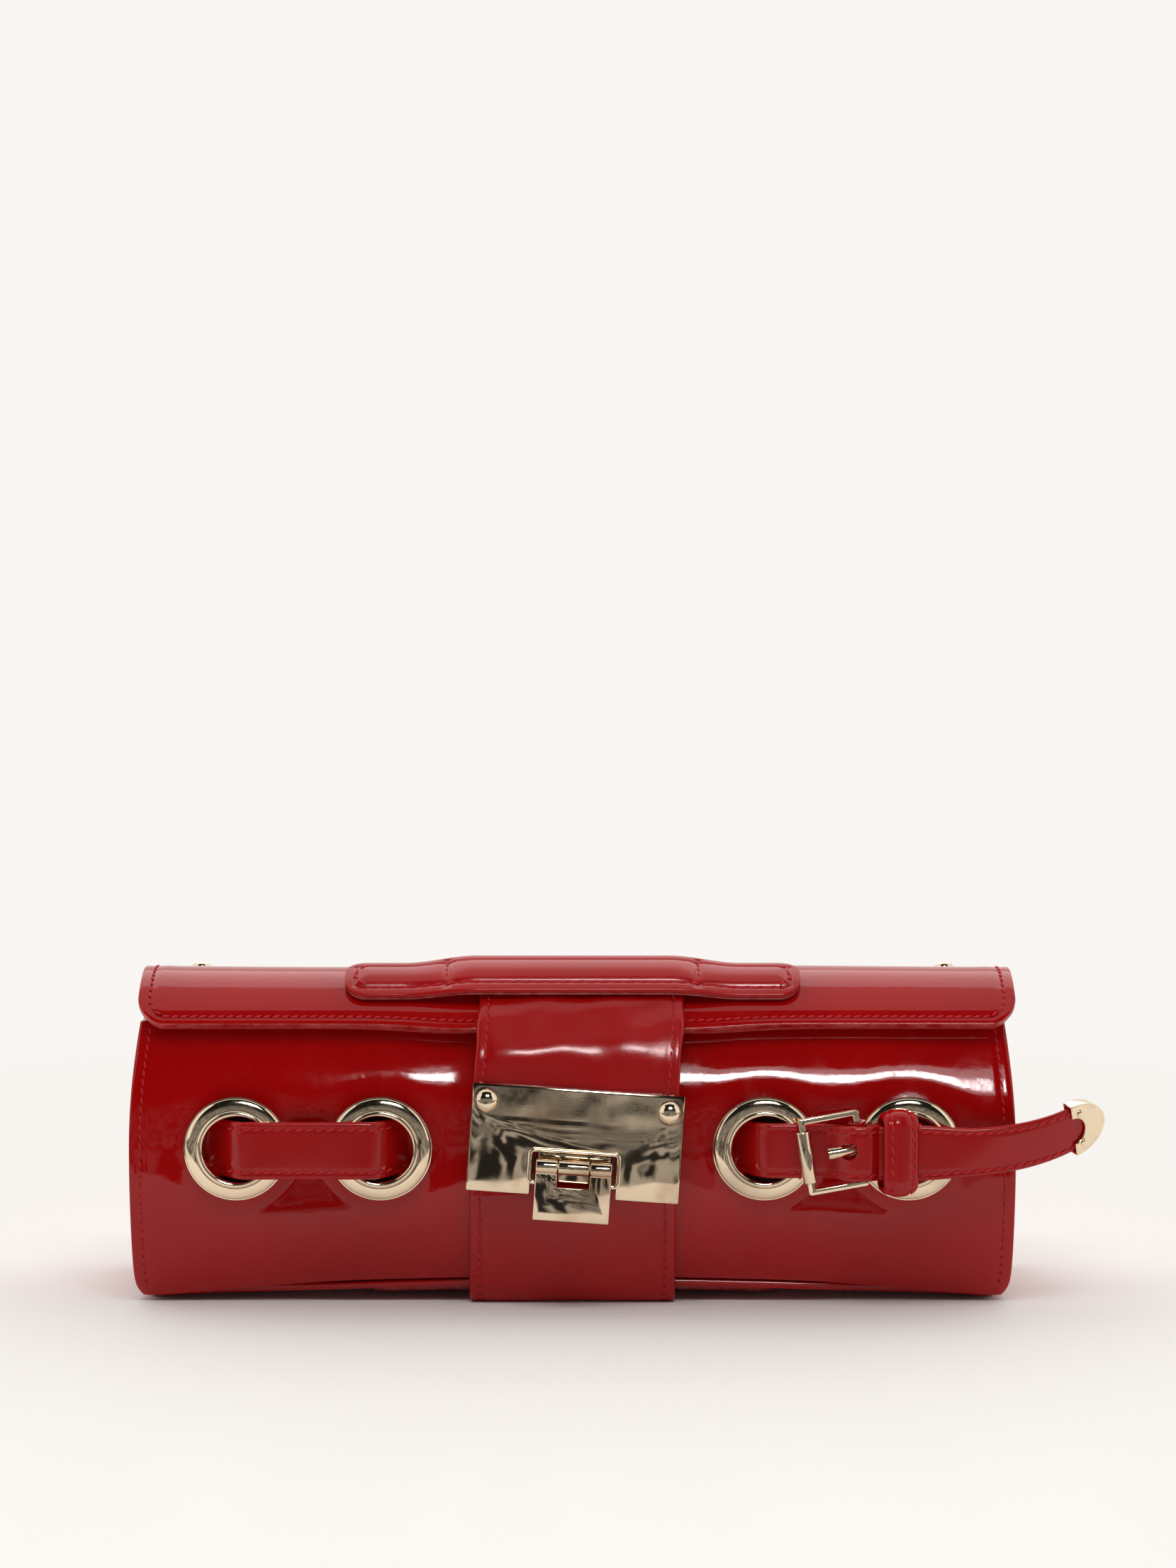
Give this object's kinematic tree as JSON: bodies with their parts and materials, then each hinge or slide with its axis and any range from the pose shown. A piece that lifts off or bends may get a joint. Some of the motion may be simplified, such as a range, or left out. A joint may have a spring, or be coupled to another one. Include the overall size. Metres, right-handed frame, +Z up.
{
  "type": "clutch purse",
  "caption": "Barrel-shaped patent leather clutch purse with a hinged flap, padded top handle, flip lock on a closing strap, and belts laced through metal eyelets.",
  "frame": {"origin": "on the table, at the middle of the flat underside of the closing strap where it crosses the base", "axes": "+X along the bag to the right of someone facing its front, +Y from front to back, +Z up"},
  "size_m": [0.2723, 0.0748, 0.0951],
  "materials": {
    "patent_leather": "glossy patent",
    "backing_leather": "satin",
    "lining_cloth": "woven",
    "stiffener": "matte board",
    "pale_gold": "polished, pale gold plated",
    "inner_metal": "plain"
  },
  "bodies": {
    "bag": {"front_panel": "patent_leather", "back_panel": "patent_leather", "base_panel": "patent_leather", "end_panel_left": "patent_leather", "end_panel_right": "patent_leather", "base_board": "stiffener", "lining": "lining_cloth", "slip_pocket": "lining_cloth", "closing_strap_lower": "patent_leather", "base_patch": "backing_leather", "lock_hasp": "pale_gold", "lock_pin": "inner_metal", "lock_backplate": "inner_metal", "eyelet_a": "pale_gold", "eyelet_b": "pale_gold", "eyelet_c": "pale_gold", "eyelet_d": "pale_gold", "eyelet_washer_a": "inner_metal", "eyelet_washer_b": "inner_metal", "eyelet_washer_c": "inner_metal", "eyelet_washer_d": "inner_metal", "belt_left": "patent_leather", "belt_buckle_side": "patent_leather", "belt_tip_side": "patent_leather"},
    "flap": {"flap_shell": "patent_leather", "flap_lining": "lining_cloth", "flap_stud_left": "pale_gold", "flap_stud_right": "pale_gold", "flap_stud_washer_left": "inner_metal", "flap_stud_washer_right": "inner_metal", "handle_backing": "backing_leather", "handle_pad": "patent_leather", "closing_strap_upper": "patent_leather", "lock_plate": "pale_gold", "lock_rivet_left": "pale_gold", "lock_rivet_right": "pale_gold", "lock_rivet_washer_left": "inner_metal", "lock_rivet_washer_right": "inner_metal"},
    "tongue": {"lock_tongue": "pale_gold"},
    "buckle": {"buckle_frame": "pale_gold"},
    "roller": {"buckle_roller": "pale_gold"},
    "prong": {"buckle_prong": "pale_gold"},
    "keeper": {"belt_keeper": "patent_leather"},
    "tail": {"belt_tail": "patent_leather", "tail_cap": "pale_gold", "cap_rivet_upper": "pale_gold", "cap_rivet_lower": "pale_gold"}
  },
  "joints": [
    {"name": "flap_hinge", "type": "hinge", "parent": "bag", "child": "flap", "pos_m": [0, 0.02141, 0.07656], "axis": [-1, 0, 0], "range_deg": [0, 120]},
    {"name": "tongue_flip", "type": "hinge", "parent": "bag", "child": "tongue", "pos_m": [0.00045, -0.04061, 0.04054], "axis": [-0.9977, 0.0059, 0.0678], "range_deg": [0, 95]},
    {"name": "buckle_tilt", "type": "hinge", "parent": "bag", "child": "buckle", "pos_m": [0.079, -0.0373, 0.04559], "axis": [-0.1553, -0.0188, 0.9877], "range_deg": [0, 45]},
    {"name": "roller_spin", "type": "hinge", "parent": "buckle", "child": "roller", "pos_m": [0.0641, -0.03911, 0.04321], "axis": [-0.1553, -0.0188, 0.9877], "continuous": true},
    {"name": "prong_lift", "type": "hinge", "parent": "bag", "child": "prong", "pos_m": [0.079, -0.0373, 0.04559], "axis": [-0.1553, -0.0188, 0.9877], "range_deg": [0, 12]},
    {"name": "keeper_slide", "type": "slide", "parent": "bag", "child": "keeper", "axis": [1, 0, 0], "range_m": [-0.002, 0.001]},
    {"name": "tail_swing", "type": "hinge", "parent": "bag", "child": "tail", "pos_m": [0.0944, -0.0402, 0.0444], "axis": [0, 0, -1], "range_deg": [0, 50]}
  ]
}
